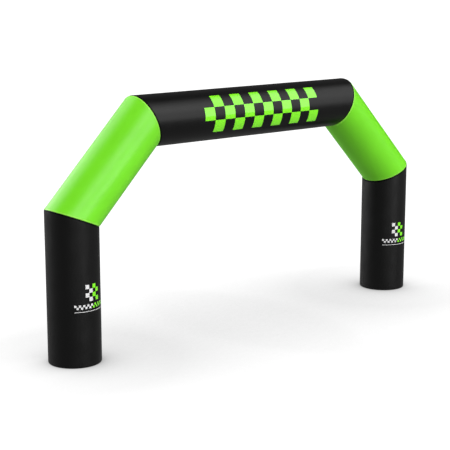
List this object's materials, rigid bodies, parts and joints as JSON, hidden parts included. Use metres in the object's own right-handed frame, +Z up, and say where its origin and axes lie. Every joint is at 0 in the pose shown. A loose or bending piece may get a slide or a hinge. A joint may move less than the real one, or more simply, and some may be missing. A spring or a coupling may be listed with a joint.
{
  "type": "inflatable arch",
  "caption": "Free-standing inflatable arch: round legs, slanted shoulders and a cross beam of air-filled cloth, to pass under.",
  "frame": {"origin": "on the floor, midway between the two legs", "axes": "+X along the beam towards the right leg as seen from the front, -Y out of the front face that carries the prints, +Z up"},
  "size_m": [7.68, 0.8, 3.88],
  "materials": {
    "black_cloth": "black coated polyester cloth, satin, fine plain weave",
    "green_cloth": "bright lime green coated polyester cloth, satin, fine plain weave"
  },
  "bodies": {
    "root": {"leg_left": "black_cloth", "leg_right": "black_cloth", "shoulder_left": "green_cloth", "shoulder_right": "green_cloth", "beam": "black_cloth", "base_disc_left": "black_cloth", "base_disc_right": "black_cloth"}
  },
  "joints": []
}
